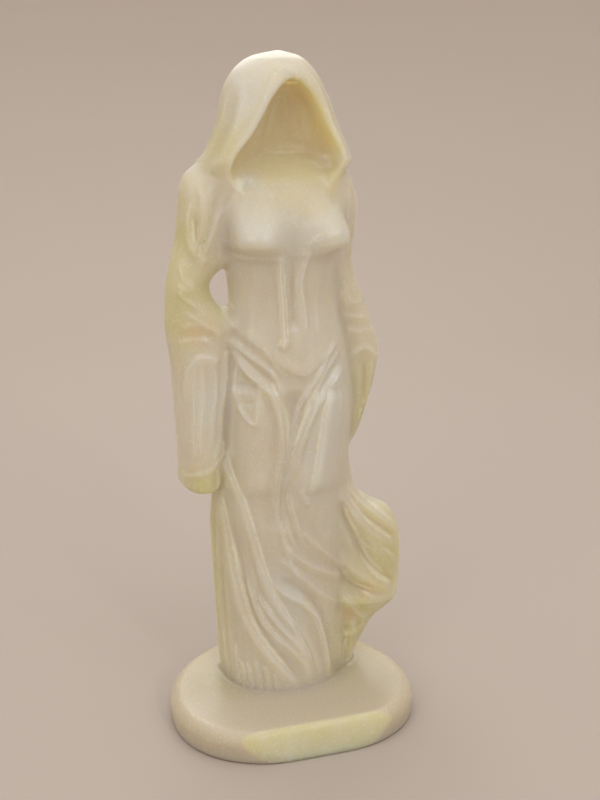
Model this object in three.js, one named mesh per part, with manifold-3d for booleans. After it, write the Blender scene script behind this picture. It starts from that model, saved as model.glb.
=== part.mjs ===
// Veiled witch figurine: a hooded, faceless woman in a long gown with bell sleeves,
// carved in one piece with the oval slab that she stands on.
//
// Units are millimetres, +Z is up, and the origin is the middle of the underside.
// She faces -Y. A bearing is an angle in degrees round an upright axis: 0 looks out of
// her front (-Y), 90 is +X and -90 is -X. Left and right in these notes are -X and +X.

import * as THREE from 'three';
import { LoftGeometry } from 'three/addons/geometries/LoftGeometry.js';
import { mergeVertices } from 'three/addons/utils/BufferGeometryUtils.js';
import Module from 'manifold-3d';

const DEGREE = Math.PI / 180;

// Overall height, from the underside of the slab to the crown of the hood. The row tables
// further down follow from it: they give the figure's heights and breadths at this size.
const HEIGHT = 150;

// Slab: a rounded oval, squarer and shallower in front, where a sawn face leans back
const SLAB_THICKNESS = 6.6;
const SLAB_HALF_WIDTH = 28.6;
const SLAB_FRONT_DEPTH = 23.8;
const SLAB_BACK_DEPTH = 27.2;
const SLAB_FRONT_SQUARENESS = 2.35;
const SLAB_EDGE_ROUND = 3.0;
const SLAB_EDGE_STEPS = 4;
const SLAB_FOOT_CHAMFER = 0.7;
const SLAB_FACE_FOOT_Y = -23.3;
const SLAB_FACE_LEAN = 28;

// Points round each section, and sections up each body
const SLAB_POINTS = 56;
const GOWN_POINTS = 56;
const GOWN_LEVELS = 40;
const HOOD_POINTS = 36;
const HOOD_LEVELS = 20;
const HOLLOW_POINTS = 24;
const HOLLOW_LEVELS = 11;
const ARM_POINTS = 24;
const ARM_LEVELS = 23;
const TAIL_POINTS = 34;
const TAIL_LEVELS = 21;

// How far the gown's points crowd to her front, and the hood's sections to the crown
const GOWN_CROWDING = 0.25;
const HOOD_CROWDING = 1.6;

// A section row is: height, centre x, centre y, half width, depth in front of the centre,
// depth behind it. Sections between two rows follow a smooth curve through the table.

// Gown, from the hem inside the slab, over hips, waist and bust, to the closed neck
const GOWN = [
  [3, 0.4, 8.0, 14.4, 12.4, 11.6],
  [8, 0.4, 8.0, 14.4, 12.2, 11.6],
  [20, 0.3, 8.2, 14.8, 11.8, 11.2],
  [34, 0.0, 8.4, 15.0, 12.0, 10.8],
  [48, -0.6, 8.4, 15.0, 12.4, 10.6],
  [60, 0.5, 8.2, 15.3, 12.4, 11.2],
  [74, 1.6, 8.2, 15.4, 12.0, 11.6],
  [86, 1.2, 8.2, 14.0, 11.0, 8.8],
  [98, 0.5, 8.0, 12.2, 9.2, 7.6],
  [106, 0.5, 8.2, 12.9, 10.0, 8.2],
  [112, 0.6, 8.6, 13.8, 10.8, 8.6],
  [118, -0.2, 9.2, 15.0, 10.0, 8.6],
  [123, -1.0, 9.8, 15.0, 7.4, 8.2],
  [126, -0.8, 10.2, 12.6, 4.4, 7.0],
  [128.5, -0.6, 10.6, 8.0, 1.6, 4.6],
];

// Hood, from the hem of the veil on the shoulders to the crown
const HOOD = [
  [111, -0.5, 11.0, 11.0, 5.0, 8.2],
  [118, -0.6, 11.0, 14.0, 7.5, 9.2],
  [122, -0.6, 10.6, 15.8, 9.5, 9.9],
  [124.5, -0.2, 10.2, 16.2, 11.6, 10.3],
  [127, 0.2, 9.8, 17.2, 13.2, 10.6],
  [129, 0.2, 9.6, 16.4, 13.2, 10.7],
  [132, 0.0, 9.2, 14.9, 12.4, 10.8],
  [135, -0.2, 9.0, 13.6, 11.4, 10.7],
  [138, -0.4, 9.0, 12.6, 10.7, 10.5],
  [141, -0.6, 9.0, 11.7, 9.9, 10.0],
  [144, -0.7, 9.0, 10.4, 8.8, 8.9],
  [147, -0.6, 9.0, 8.1, 6.8, 6.9],
  [149, -0.2, 9.0, 5.0, 4.2, 4.4],
  [HEIGHT, 0.2, 9.0, 0.6, 0.6, 0.6],
];
const HOOD_TURN = 11;

// The hem of the veil hangs lower in the middle of her back than on the shoulders
const VEIL_DROP = 9;
const VEIL_DROP_REACH = 4;

// Hollow of the hood: a pointed arch, open to the front, with an empty inside
const HOLLOW = [
  [120, -0.2, 4.0, 11.0, 30, 2.0],
  [124, -0.2, 4.0, 12.4, 30, 3.0],
  [127, 0.0, 4.0, 13.0, 30, 4.4],
  [129.5, 0.2, 4.0, 12.2, 30, 5.0],
  [132, 0.3, 4.0, 10.6, 30, 5.2],
  [135, 0.4, 4.0, 9.0, 30, 5.2],
  [138, 0.5, 4.0, 7.7, 30, 4.8],
  [141, 0.6, 3.8, 6.2, 30, 4.0],
  [143, 0.7, 3.4, 4.9, 30, 3.2],
  [144.6, 0.8, 3.0, 3.2, 30, 2.0],
  [145.4, 0.8, 2.4, 0.8, 30, 0.6],
];

// Left arm, shoulder to the rolled hem of its bell sleeve; its bend leaves a gap at the waist
const LEFT_ARM = [
  [55.2, -19.2, 7.4, 3.5, 6.4, 6.6],
  [56.7, -19.3, 7.4, 4.3, 7.0, 7.2],
  [63, -18.9, 7.4, 4.8, 6.8, 7.0],
  [71, -18.8, 7.4, 5.4, 6.4, 6.6],
  [80, -18.6, 7.4, 6.2, 6.0, 6.2],
  [87, -18.7, 7.4, 6.9, 5.8, 5.8],
  [92.5, -18.2, 7.6, 8.0, 5.4, 5.4],
  [96, -19.7, 7.8, 6.3, 5.0, 5.0],
  [98, -20.6, 7.9, 5.3, 4.8, 4.8],
  [101.5, -20.8, 8.0, 4.8, 4.7, 4.8],
  [104.6, -19.2, 8.2, 5.8, 4.6, 4.8],
  [107, -17.6, 8.4, 6.8, 4.6, 4.8],
  [112, -16.8, 8.8, 6.2, 5.2, 5.2],
  [118, -16.6, 9.4, 5.7, 5.8, 5.6],
  [122, -16.2, 9.8, 5.4, 5.6, 5.4],
  [125, -15.6, 10.2, 4.4, 4.4, 4.4],
  [127, -14.6, 10.6, 2.4, 2.4, 2.4],
];

// Right arm, drawn back, with the sleeve running to a point below the elbow
const RIGHT_ARM = [
  [62, 17.4, 11.2, 1.2, 2.0, 2.2],
  [64.5, 17.6, 11.2, 2.4, 3.6, 4.2],
  [68, 17.8, 11.2, 3.3, 4.6, 5.4],
  [73, 18.4, 11.2, 4.4, 5.2, 6.0],
  [78.6, 18.8, 11.2, 5.4, 5.4, 6.0],
  [82, 18.8, 11.2, 6.0, 5.2, 5.8],
  [84.6, 18.8, 11.2, 6.1, 5.0, 5.6],
  [90, 17.8, 11.2, 5.5, 4.8, 5.2],
  [96, 15.7, 11.0, 5.2, 4.8, 5.0],
  [101.5, 13.8, 10.8, 4.9, 4.8, 4.8],
  [106, 12.6, 10.8, 5.1, 4.8, 4.8],
  [114.7, 12.8, 10.6, 5.7, 5.4, 5.2],
  [120, 12.8, 10.6, 5.5, 5.4, 5.2],
  [123, 12.6, 10.8, 4.8, 4.8, 4.6],
  [125.5, 12.0, 11.0, 2.6, 2.6, 2.6],
];

// Tail of the gown, blown out to her left hand side (+X); the half width reaches the hem
const TAIL = [
  [3, 9.0, 8.4, 8.4, 6.0, 5.0],
  [8, 9.6, 8.2, 8.8, 6.2, 5.0],
  [12, 10.6, 8.0, 9.8, 6.2, 4.8],
  [16, 11.8, 7.8, 10.8, 6.2, 4.6],
  [18, 12.6, 7.6, 11.6, 6.0, 4.6],
  [20.5, 14.3, 7.4, 13.6, 5.8, 4.4],
  [23, 15.0, 7.2, 14.6, 5.6, 4.2],
  [26, 15.0, 7.2, 14.8, 5.4, 4.2],
  [31, 15.2, 7.2, 15.0, 5.2, 4.2],
  [36, 15.2, 7.4, 15.0, 5.2, 4.2],
  [41.5, 14.6, 7.6, 14.4, 5.4, 4.4],
  [45.5, 13.2, 7.8, 13.4, 5.8, 4.8],
  [48, 10.8, 8.0, 11.2, 6.4, 5.2],
  [51, 9.0, 8.2, 9.8, 7.0, 5.8],
  [56, 7.6, 8.4, 9.6, 7.6, 6.6],
  [63, 6.4, 8.4, 9.4, 8.0, 7.4],
];

// A stroke is a carved ridge, or a groove where its rise is negative: its half width, its
// rise, and the points that it runs through, as bearing and height on the gown.
const GOWN_RADIUS = 13.5;
const STROKE_END_DEPTH = 0.3;
const STROKE_FADE = 0.14;
const STROKE_SMOOTHNESS = 4;
const GOWN_STROKES = [
  // Corset ridges over the waist, and the girdle's edge below them
  { width: 1.5, rise: 0.8, points: [[-15, 108], [-16, 98], [-17, 88]] },
  { width: 1.6, rise: 0.7, points: [[14, 110], [12, 100], [9, 91]] },
  { width: 1.3, rise: 0.8, points: [[-70, 91], [-49, 88], [-28, 84.3], [2, 81.4]] },
  { width: 1.3, rise: 0.8, points: [[2, 81.4], [20, 82], [41, 84], [71, 86]] },
  // Thighs, and the valley between them that the gathers run into
  { width: 5.0, rise: 1.3, points: [[-48, 84], [-46, 70], [-36, 52]] },
  { width: 4.5, rise: 1.5, points: [[36, 82], [27, 68], [20, 51]] },
  { width: 3.4, rise: -1.5, points: [[-4, 79], [-9, 68], [-13, 58], [-15, 44]] },
  { width: 1.4, rise: 0.9, points: [[-53, 83], [-36, 78], [-24, 72], [-15, 63], [-14, 54]] },
  { width: 1.4, rise: 0.9, points: [[58, 86], [33, 82], [12, 76], [-4, 70], [-12, 60]] },
  // Sweeps of the skirt, from her right hip to the hem
  { width: 1.8, rise: 1.1, points: [[-67, 60], [-56, 54], [-44, 47], [-39, 36], [-30, 28], [-10, 17], [6, 8]] },
  { width: 1.8, rise: 1.0, points: [[-62, 47], [-61, 38], [-58, 28], [-46, 20], [-30, 12], [-22, 7]] },
  { width: 1.8, rise: 1.0, points: [[-14, 54], [-16, 46], [-6, 38], [6, 29], [24, 24], [38, 14], [42, 7]] },
  { width: 1.8, rise: -0.9, points: [[-52, 44], [-48, 34], [-40, 25], [-22, 14], [-10, 7]] },
  { width: 2.0, rise: 1.0, points: [[-82, 50], [-80, 30], [-76, 8]] },
];

// Long plain folds down her back, one bearing each
const BACK_FOLDS = [-150, -128, -106, 112, 134, 156, 178];
const BACK_FOLD_WIDTH = 2.6;
const BACK_FOLD_RISE = 1.1;
const BACK_FOLD_TOP = 84;
const BACK_FOLD_FULL = 44;

// Strokes of the tail, as x and height
const TAIL_STROKES = [
  { width: 2.4, rise: 1.4, points: [[12, 52], [19, 45], [26, 38]] },
  { width: 1.8, rise: -1.4, points: [[12, 44], [19, 36], [25, 29]] },
  { width: 2.4, rise: 1.2, points: [[9, 39], [17, 31], [26, 26]] },
  { width: 1.6, rise: -1.2, points: [[9, 33], [15, 26], [21, 21]] },
  { width: 2.2, rise: 1.2, points: [[7, 30], [14, 22], [20, 16]] },
  { width: 1.4, rise: -1.0, points: [[10, 20], [14, 13], [15, 7]] },
];

// Flutes of the bell sleeves: how many, how deep, and where they start and are full
const FLUTES = 6;
const FLUTE_RISE = 0.5;
const FLUTES_START = 90;
const FLUTES_FULL = 78;

// Soft folds of the veil below the crown, left out of the rim of the hood
const VEIL_FOLDS = 7;
const VEIL_FOLD_RISE = 0.55;
const VEIL_FOLDS_START = 138;
const VEIL_FOLDS_FULL = 122;
const VEIL_RIM_BEARING = 60;
const VEIL_SIDE_BEARING = 90;

// Bust: two rounded forms, by bearing and reach from the axis of the gown at their height
const BUST = { bearing: 41, reach: 11.0, height: 111.0, radius: 6.7 };

// Smooth values through the rows of a table at one height, by Hermite curves
function rowAt(table, height) {
  const last = table.length - 1;
  const z = Math.min(Math.max(height, table[0][0]), table[last][0]);
  const i = Math.min(Math.max(table.findIndex((row) => row[0] > z) - 1, 0), last - 1);
  const k = z >= table[last][0] ? last - 1 : i;
  const span = table[k + 1][0] - table[k][0];
  const s = (z - table[k][0]) / span;
  const slope = (row, column) => {
    const low = table[Math.max(row - 1, 0)];
    const high = table[Math.min(row + 1, last)];
    return ((high[column] - low[column]) / (high[0] - low[0])) * span;
  };
  return table[k].map((value, column) => {
    const next = table[k + 1][column];
    return (
      (2 * s ** 3 - 3 * s ** 2 + 1) * value +
      (s ** 3 - 2 * s ** 2 + s) * slope(k, column) +
      (3 * s ** 2 - 2 * s ** 3) * next +
      (s ** 3 - s ** 2) * slope(k + 1, column)
    );
  });
}

// Grows smoothly from 0 to 1 as a value passes from one limit to the other
const ramp = (value, from, to) => THREE.MathUtils.smoothstep((value - from) / (to - from), 0, 1);

// An angle brought into the half turn either way from straight ahead
const wrap = (angle) => Math.atan2(Math.sin(angle), Math.cos(angle));

// Radius of a section on a bearing: half an ellipse in front, half an ellipse behind
function ovalRadius(row, bearing) {
  const across = Math.sin(bearing) / row[3];
  const along = Math.cos(bearing) / (Math.cos(bearing) > 0 ? row[4] : row[5]);
  return 1 / Math.hypot(across, along);
}

// Height of a rounded ridge at a distance from its crest, both in half widths
const bell = (offset) => Math.exp(-(offset ** 2));

// Rise of a set of strokes at a point of the surface laid flat
function strokeRise(strokes, u, v) {
  let rise = 0;
  for (const stroke of strokes) {
    let nearest = Infinity;
    let along = 0;
    const path = stroke.path;
    for (let i = 0; i + 1 < path.length; i += 1) {
      const [u0, v0] = path[i];
      const du = path[i + 1][0] - u0;
      const dv = path[i + 1][1] - v0;
      const t = Math.min(Math.max(((u - u0) * du + (v - v0) * dv) / (du * du + dv * dv), 0), 1);
      const distance = Math.hypot(u - u0 - t * du, v - v0 - t * dv);
      if (distance < nearest) {
        nearest = distance;
        along = (i + t) / (path.length - 1);
      }
    }
    const fade = Math.min(1, STROKE_END_DEPTH + Math.min(along, 1 - along) / STROKE_FADE);
    rise += stroke.rise * fade * bell(nearest / stroke.width);
  }
  return rise;
}

// A stroke's points as a smooth path on the surface laid flat, in millimetres
function laidOut(strokes, unit) {
  return strokes.map((stroke) => {
    const corners = stroke.points.map(([u, v]) => new THREE.Vector3(u * unit, v, 0));
    const curve = new THREE.CatmullRomCurve3(corners);
    return { ...stroke, path: curve.getPoints(STROKE_SMOOTHNESS * corners.length).map((p) => [p.x, p.y]) };
  });
}

// Sections of a body, as rings of points that run anticlockwise seen from above
function rings(table, levels, points, radiusAt, turn = 0, crowd = 0) {
  const bottom = table[0][0];
  const top = table[table.length - 1][0];
  return levels.map((level) => {
    const z = bottom + (top - bottom) * level;
    const row = rowAt(table, z);
    return Array.from({ length: points }, (_, i) => {
      const even = (2 * Math.PI * i) / points;
      const bearing = even - crowd * Math.sin(even);
      const radius = radiusAt(row, bearing, z);
      const heading = bearing + turn * DEGREE;
      return new THREE.Vector3(
        row[1] + radius * Math.sin(heading),
        row[2] - radius * Math.cos(heading),
        z,
      );
    });
  });
}

const evenLevels = (count) => Array.from({ length: count }, (_, i) => i / (count - 1));

// Levels that crowd towards the top, for a dome
const domeLevels = (count) => evenLevels(count).map((t) => 1 - (1 - t) ** HOOD_CROWDING);

const loft = (sections) => new LoftGeometry(sections, { closed: true, capStart: true, capEnd: true });

const gownStrokes = laidOut(GOWN_STROKES, GOWN_RADIUS * DEGREE);
const tailStrokes = laidOut(TAIL_STROKES, 1);

function gownRadius(row, bearing, z) {
  let radius = ovalRadius(row, bearing);
  const lift = BUST.radius ** 2 - (z - BUST.height) ** 2;
  if (lift > 0) {
    for (const side of [-1, 1]) {
      const swing = bearing - side * BUST.bearing * DEGREE;
      const chord = lift - (BUST.reach * Math.sin(swing)) ** 2;
      if (chord > 0 && Math.cos(swing) > 0) {
        radius = Math.max(radius, BUST.reach * Math.cos(swing) + Math.sqrt(chord));
      }
    }
  }
  radius += strokeRise(gownStrokes, wrap(bearing) * GOWN_RADIUS, z);
  const fall = ramp(z, BACK_FOLD_TOP, BACK_FOLD_FULL);
  for (const fold of BACK_FOLDS) {
    const swing = wrap(bearing - fold * DEGREE);
    radius += fall * BACK_FOLD_RISE * bell((swing * GOWN_RADIUS) / BACK_FOLD_WIDTH);
  }
  return radius;
}

function gownBody() {
  return loft(rings(GOWN, evenLevels(GOWN_LEVELS), GOWN_POINTS, gownRadius, 0, GOWN_CROWDING));
}

function veilRadius(row, bearing, z) {
  const side = ramp(Math.abs(wrap(bearing)) / DEGREE, VEIL_RIM_BEARING, VEIL_SIDE_BEARING);
  const fall = ramp(z, VEIL_FOLDS_START, VEIL_FOLDS_FULL);
  return ovalRadius(row, bearing) + side * fall * VEIL_FOLD_RISE * Math.cos(VEIL_FOLDS * bearing);
}

function sleeveRadius(row, bearing, z) {
  const fall = ramp(z, FLUTES_START, FLUTES_FULL);
  return ovalRadius(row, bearing) + fall * FLUTE_RISE * Math.cos(FLUTES * bearing);
}

function hoodBody() {
  const levels = domeLevels(HOOD_LEVELS);
  const sections = rings(HOOD, levels, HOOD_POINTS, veilRadius, HOOD_TURN);
  sections.forEach((section, level) => {
    section.forEach((point, i) => {
      const behind = Math.max(0, -Math.cos((2 * Math.PI * i) / HOOD_POINTS));
      point.z -= VEIL_DROP * behind ** 2 * (1 - levels[level]) ** VEIL_DROP_REACH;
    });
  });
  return loft(sections);
}

function hoodHollow() {
  return loft(rings(HOLLOW, evenLevels(HOLLOW_LEVELS), HOLLOW_POINTS, ovalRadius, HOOD_TURN));
}

function armBody(table) {
  return loft(rings(table, evenLevels(ARM_LEVELS), ARM_POINTS, sleeveRadius));
}

function tailBody() {
  const sections = rings(TAIL, evenLevels(TAIL_LEVELS), TAIL_POINTS, ovalRadius);
  for (const section of sections) {
    for (const point of section) {
      if (point.y < 8) point.y -= strokeRise(tailStrokes, point.x, point.z);
    }
  }
  return loft(sections);
}

// Radius of the slab's outline on a bearing, drawn in by an inset
function slabRadius(bearing, inset) {
  const front = Math.cos(bearing) > 0;
  const squareness = front ? SLAB_FRONT_SQUARENESS : 2;
  const depth = (front ? SLAB_FRONT_DEPTH : SLAB_BACK_DEPTH) - inset;
  const across = Math.abs(Math.sin(bearing)) / (SLAB_HALF_WIDTH - inset);
  const along = Math.abs(Math.cos(bearing)) / depth;
  return (across ** squareness + along ** squareness) ** (-1 / squareness);
}

// Slab: a chamfered foot, an upright side and a quarter-round top edge
function slabBody() {
  const profile = [[0, SLAB_FOOT_CHAMFER], [SLAB_FOOT_CHAMFER, 0]];
  for (let i = 0; i <= SLAB_EDGE_STEPS; i += 1) {
    const turn = (i / SLAB_EDGE_STEPS) * 90 * DEGREE;
    profile.push([
      SLAB_THICKNESS - SLAB_EDGE_ROUND * (1 - Math.sin(turn)),
      SLAB_EDGE_ROUND * (1 - Math.cos(turn)),
    ]);
  }
  return loft(profile.map(([z, inset]) => Array.from({ length: SLAB_POINTS }, (_, i) => {
    const bearing = (2 * Math.PI * i) / SLAB_POINTS;
    const radius = slabRadius(bearing, inset);
    return new THREE.Vector3(radius * Math.sin(bearing), -radius * Math.cos(bearing), z);
  })));
}

// Waste in front of the sawn face: its back face passes through the foot of that face
function sawnWaste() {
  const size = 4 * SLAB_HALF_WIDTH;
  const block = new THREE.BoxGeometry(size, size, size);
  block.translate(0, -size / 2, 0);
  block.rotateX(-SLAB_FACE_LEAN * DEGREE);
  block.translate(0, SLAB_FACE_FOOT_Y, 0);
  return block;
}

// Points nearer to each other than this are one point
const MERGE_DISTANCE = 1e-4;

const wasm = await Module();
wasm.setup();

function toSolid(geometry) {
  geometry.deleteAttribute('normal');
  geometry.deleteAttribute('uv');
  const bare = new THREE.BufferGeometry();
  bare.setAttribute('position', geometry.getAttribute('position'));
  bare.setIndex(geometry.getIndex());
  const merged = mergeVertices(bare, MERGE_DISTANCE);
  return new wasm.Manifold(new wasm.Mesh({
    numProp: 3,
    vertProperties: new Float32Array(merged.attributes.position.array),
    triVerts: new Uint32Array(merged.index.array),
  }));
}

function toGeometry(solid) {
  const mesh = solid.getMesh();
  const geometry = new THREE.BufferGeometry();
  geometry.setAttribute('position', new THREE.Float32BufferAttribute(mesh.vertProperties, 3));
  geometry.setIndex(Array.from(mesh.triVerts));
  geometry.computeVertexNormals();
  return geometry;
}

const slab = toSolid(slabBody()).subtract(toSolid(sawnWaste()));
const hood = toSolid(hoodBody()).subtract(toSolid(hoodHollow()));
const figure = [gownBody(), tailBody(), armBody(LEFT_ARM), armBody(RIGHT_ARM)]
  .map(toSolid)
  .reduce((whole, body) => whole.add(body), slab.add(hood));

const stone = new THREE.MeshStandardMaterial({ color: 0xd9cfa8, roughness: 0.28, metalness: 0 });
const figurine = new THREE.Mesh(toGeometry(figure), stone);
figurine.name = 'witch_figurine';

const part = new THREE.Group();
part.add(figurine);

export default part;
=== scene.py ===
"""Looks of the veiled witch figurine: one piece of polished translucent stone on its slab."""

import math

import bpy
import numpy as np
import openvdb
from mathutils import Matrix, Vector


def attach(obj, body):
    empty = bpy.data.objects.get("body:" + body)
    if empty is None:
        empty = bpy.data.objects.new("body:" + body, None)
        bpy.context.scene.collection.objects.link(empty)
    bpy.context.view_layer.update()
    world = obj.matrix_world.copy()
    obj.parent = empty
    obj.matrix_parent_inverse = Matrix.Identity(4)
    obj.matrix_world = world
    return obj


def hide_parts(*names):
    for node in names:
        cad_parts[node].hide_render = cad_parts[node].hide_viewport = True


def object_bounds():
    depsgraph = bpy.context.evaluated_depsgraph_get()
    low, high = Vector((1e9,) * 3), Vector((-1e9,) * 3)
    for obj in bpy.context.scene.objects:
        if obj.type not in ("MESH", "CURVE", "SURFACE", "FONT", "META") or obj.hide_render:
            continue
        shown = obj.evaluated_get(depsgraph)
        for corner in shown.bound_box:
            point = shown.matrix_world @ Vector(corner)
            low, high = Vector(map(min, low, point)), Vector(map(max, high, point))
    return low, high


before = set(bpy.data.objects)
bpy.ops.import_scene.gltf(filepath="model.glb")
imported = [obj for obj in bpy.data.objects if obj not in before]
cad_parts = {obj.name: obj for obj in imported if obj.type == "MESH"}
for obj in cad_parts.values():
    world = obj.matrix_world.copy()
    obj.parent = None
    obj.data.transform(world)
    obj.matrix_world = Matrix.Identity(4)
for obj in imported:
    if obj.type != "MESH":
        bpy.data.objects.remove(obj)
CAD_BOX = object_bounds()

bl_info = {
    "name": "Veiled Witch Figurine",
    "version": (1, 0, 0),
    "blender": (4, 5, 0),
    "location": "3D View > Sidebar > Figurine",
    "description": "Carves the veiled witch figurine from one block of translucent stone",
    "category": "Object",
}

MM = 0.001
NODE = "witch_figurine"

# Lengths below are millimetres until the mesh is made. A bearing is an angle in degrees
# round an upright axis: 0 looks out of her front (-Y), 90 is +X and -90 is -X.

# A section row is: height, centre x, centre y, half width, depth in front, depth behind
GOWN = [
    (3, 0.4, 8.0, 14.4, 12.4, 11.6),
    (8, 0.4, 8.0, 14.4, 12.2, 11.6),
    (20, 0.3, 8.2, 14.8, 11.8, 11.2),
    (34, 0.0, 8.4, 15.0, 12.0, 10.8),
    (48, -0.6, 8.4, 15.0, 12.4, 10.6),
    (60, 0.5, 8.2, 15.3, 12.4, 11.2),
    (74, 1.6, 8.2, 15.4, 12.0, 11.6),
    (86, 1.2, 8.2, 14.0, 11.0, 8.8),
    (98, 0.5, 8.0, 12.2, 9.2, 7.6),
    (106, 0.5, 8.2, 12.9, 10.0, 8.2),
    (112, 0.6, 8.6, 13.8, 10.8, 8.6),
    (118, -0.2, 9.2, 15.0, 10.0, 8.6),
    (123, -1.0, 9.8, 15.0, 7.4, 8.2),
    (126, -0.8, 10.2, 12.6, 4.4, 7.0),
    (128.5, -0.6, 10.6, 8.0, 1.6, 4.6),
]
HOOD = [
    (111, -0.5, 11.0, 11.0, 5.0, 8.2),
    (118, -0.6, 11.0, 14.0, 7.5, 9.2),
    (122, -0.6, 10.6, 15.8, 9.5, 9.9),
    (124.5, -0.2, 10.2, 16.2, 11.6, 10.3),
    (127, 0.2, 9.8, 17.2, 13.2, 10.6),
    (129, 0.2, 9.6, 16.4, 13.2, 10.7),
    (132, 0.0, 9.2, 14.9, 12.4, 10.8),
    (135, -0.2, 9.0, 13.6, 11.4, 10.7),
    (138, -0.4, 9.0, 12.6, 10.7, 10.5),
    (141, -0.6, 9.0, 11.7, 9.9, 10.0),
    (144, -0.7, 9.0, 10.4, 8.8, 8.9),
    (147, -0.6, 9.0, 8.1, 6.8, 6.9),
    (149, -0.2, 9.0, 5.0, 4.2, 4.4),
    (150, 0.2, 9.0, 0.6, 0.6, 0.6),
]
HOLLOW = [
    (120, -0.2, 4.0, 10.6, 30, 2.0),
    (124, -0.2, 4.0, 12.0, 30, 3.0),
    (127, 0.0, 4.0, 12.5, 30, 4.4),
    (129.5, 0.2, 4.0, 11.6, 30, 5.0),
    (132, 0.3, 4.0, 9.9, 30, 5.2),
    (135, 0.5, 4.0, 8.1, 30, 5.0),
    (138, 0.7, 4.0, 6.5, 30, 4.4),
    (140.5, 0.8, 3.8, 4.9, 30, 3.6),
    (142.2, 0.9, 3.4, 3.4, 30, 2.6),
    (143.4, 1.0, 3.0, 2.0, 30, 1.6),
    (144, 1.0, 2.4, 0.6, 30, 0.6),
]
LEFT_ARM = [
    (55.2, -19.2, 7.4, 3.5, 6.4, 6.6),
    (56.7, -19.3, 7.4, 4.3, 7.0, 7.2),
    (63, -18.9, 7.4, 4.8, 6.8, 7.0),
    (71, -18.8, 7.4, 5.4, 6.4, 6.6),
    (80, -18.6, 7.4, 6.2, 6.0, 6.2),
    (87, -18.7, 7.4, 6.9, 5.8, 5.8),
    (92.5, -18.2, 7.6, 8.0, 5.4, 5.4),
    (96, -19.7, 7.8, 6.3, 5.0, 5.0),
    (98, -20.6, 7.9, 5.3, 4.8, 4.8),
    (101.5, -20.8, 8.0, 4.8, 4.7, 4.8),
    (104.6, -19.2, 8.2, 5.8, 4.6, 4.8),
    (107, -17.6, 8.4, 6.8, 4.6, 4.8),
    (112, -16.8, 8.8, 6.2, 5.2, 5.2),
    (118, -16.6, 9.4, 5.7, 5.8, 5.6),
    (122, -16.2, 9.8, 5.4, 5.6, 5.4),
    (125, -15.6, 10.2, 4.4, 4.4, 4.4),
    (127, -14.6, 10.6, 2.4, 2.4, 2.4),
]
RIGHT_ARM = [
    (62, 17.4, 11.2, 1.2, 2.0, 2.2),
    (64.5, 17.6, 11.2, 2.4, 3.6, 4.2),
    (68, 17.8, 11.2, 3.3, 4.6, 5.4),
    (73, 18.4, 11.2, 4.4, 5.2, 6.0),
    (78.6, 18.8, 11.2, 5.4, 5.4, 6.0),
    (82, 18.8, 11.2, 6.0, 5.2, 5.8),
    (84.6, 18.8, 11.2, 6.1, 5.0, 5.6),
    (90, 17.8, 11.2, 5.5, 4.8, 5.2),
    (96, 15.7, 11.0, 5.2, 4.8, 5.0),
    (101.5, 13.8, 10.8, 4.9, 4.8, 4.8),
    (106, 12.6, 10.8, 5.1, 4.8, 4.8),
    (114.7, 12.8, 10.6, 5.7, 5.4, 5.2),
    (120, 12.8, 10.6, 5.5, 5.4, 5.2),
    (123, 12.6, 10.8, 4.8, 4.8, 4.6),
    (125.5, 12.0, 11.0, 2.6, 2.6, 2.6),
]
TAIL = [
    (3, 9.0, 8.4, 8.4, 6.0, 5.0),
    (8, 9.6, 8.2, 8.8, 6.2, 5.0),
    (12, 10.6, 8.0, 9.8, 6.2, 4.8),
    (16, 11.8, 7.8, 10.8, 6.2, 4.6),
    (18, 12.6, 7.6, 11.6, 6.0, 4.6),
    (20.5, 14.3, 7.4, 13.6, 5.8, 4.4),
    (23, 15.0, 7.2, 14.6, 5.6, 4.2),
    (26, 15.0, 7.2, 14.8, 5.4, 4.2),
    (31, 15.2, 7.2, 15.0, 5.2, 4.2),
    (36, 15.2, 7.4, 15.0, 5.2, 4.2),
    (41.5, 14.6, 7.6, 14.4, 5.4, 4.4),
    (45.5, 13.2, 7.8, 13.4, 5.8, 4.8),
    (48, 10.8, 8.0, 11.2, 6.4, 5.2),
    (51, 9.0, 8.2, 9.8, 7.0, 5.8),
    (56, 7.6, 8.4, 9.6, 7.6, 6.6),
    (63, 6.4, 8.4, 9.4, 8.0, 7.4),
]
HOOD_TURN = 11
VEIL_DROP = 9
VEIL_DROP_REACH = 4
HOOD_HEIGHT = 39
BUST = {"bearing": 39, "spread": 23, "height": 110.9, "rise": 4.6, "above": 6.4, "below": 2.7}

SLAB_THICKNESS = 6.6
SLAB_HALF_WIDTH = 28.6
SLAB_FRONT_DEPTH = 23.8
SLAB_BACK_DEPTH = 27.2
SLAB_FRONT_SQUARENESS = 2.35
SLAB_EDGE_ROUND = 3.0
SLAB_FOOT_ROUND = 0.8
SLAB_FACE_FOOT_Y = -23.3
SLAB_FACE_LEAN = 28
SLAB_FACE_EDGE = 0.9

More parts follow.
